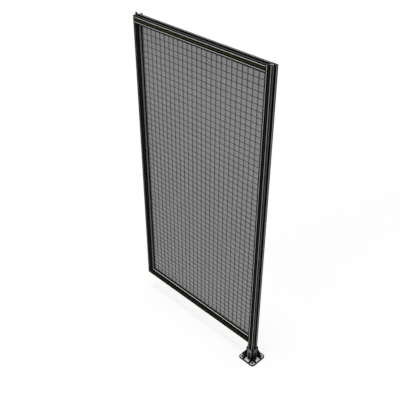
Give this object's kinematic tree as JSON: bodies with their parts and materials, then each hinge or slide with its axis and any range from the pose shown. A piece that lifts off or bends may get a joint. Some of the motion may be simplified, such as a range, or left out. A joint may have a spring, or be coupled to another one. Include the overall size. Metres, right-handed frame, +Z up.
{
  "type": "machine guard fence panel",
  "caption": "Machine guard fence panel: slotted aluminium profile frame, wire mesh backed by a tinted sheet, a full-height post in a ribbed cast floor foot.",
  "frame": {"origin": "underside of the foot's base plate, on the post's axis", "axes": "+Z up along the post, +X along the panel from the left upright towards the post and on past it, -Y towards the front of the fence; the panel lies on the -X side of the post"},
  "size_m": [1.075, 0.131, 2.099],
  "materials": {
    "profile": "dark anodised, satin",
    "cover_strip": "matt olive",
    "mesh_wire": "dark powder coat",
    "tinted_sheet": "mid grey, satin",
    "gasket_rubber": "matt",
    "foot_casting": "dark powder coat over the casting",
    "screw_steel": "black oxide"
  },
  "bodies": {
    "root": {"post": "profile", "left_upright": "profile", "top_rail": "profile", "bottom_rail": "profile", "post_front_strip": "cover_strip", "left_upright_front_strip": "cover_strip", "top_rail_front_strip": "cover_strip", "bottom_rail_front_strip": "cover_strip", "post_rear_strip": "cover_strip", "left_upright_rear_strip": "cover_strip", "top_rail_rear_strip": "cover_strip", "bottom_rail_rear_strip": "cover_strip", "mesh_band_1": "mesh_wire", "mesh_band_2": "mesh_wire", "mesh_band_3": "mesh_wire", "mesh_band_4": "mesh_wire", "tinted_sheet": "tinted_sheet", "left_gasket": "gasket_rubber", "right_gasket": "gasket_rubber", "top_gasket": "gasket_rubber", "bottom_gasket": "gasket_rubber", "foot": "foot_casting", "foot_bolt": "screw_steel", "end_tab": "screw_steel", "joint_plate": "screw_steel", "top_left_screw": "screw_steel", "bottom_left_screw": "screw_steel", "top_right_screw": "screw_steel", "bottom_right_screw": "screw_steel"}
  },
  "joints": []
}
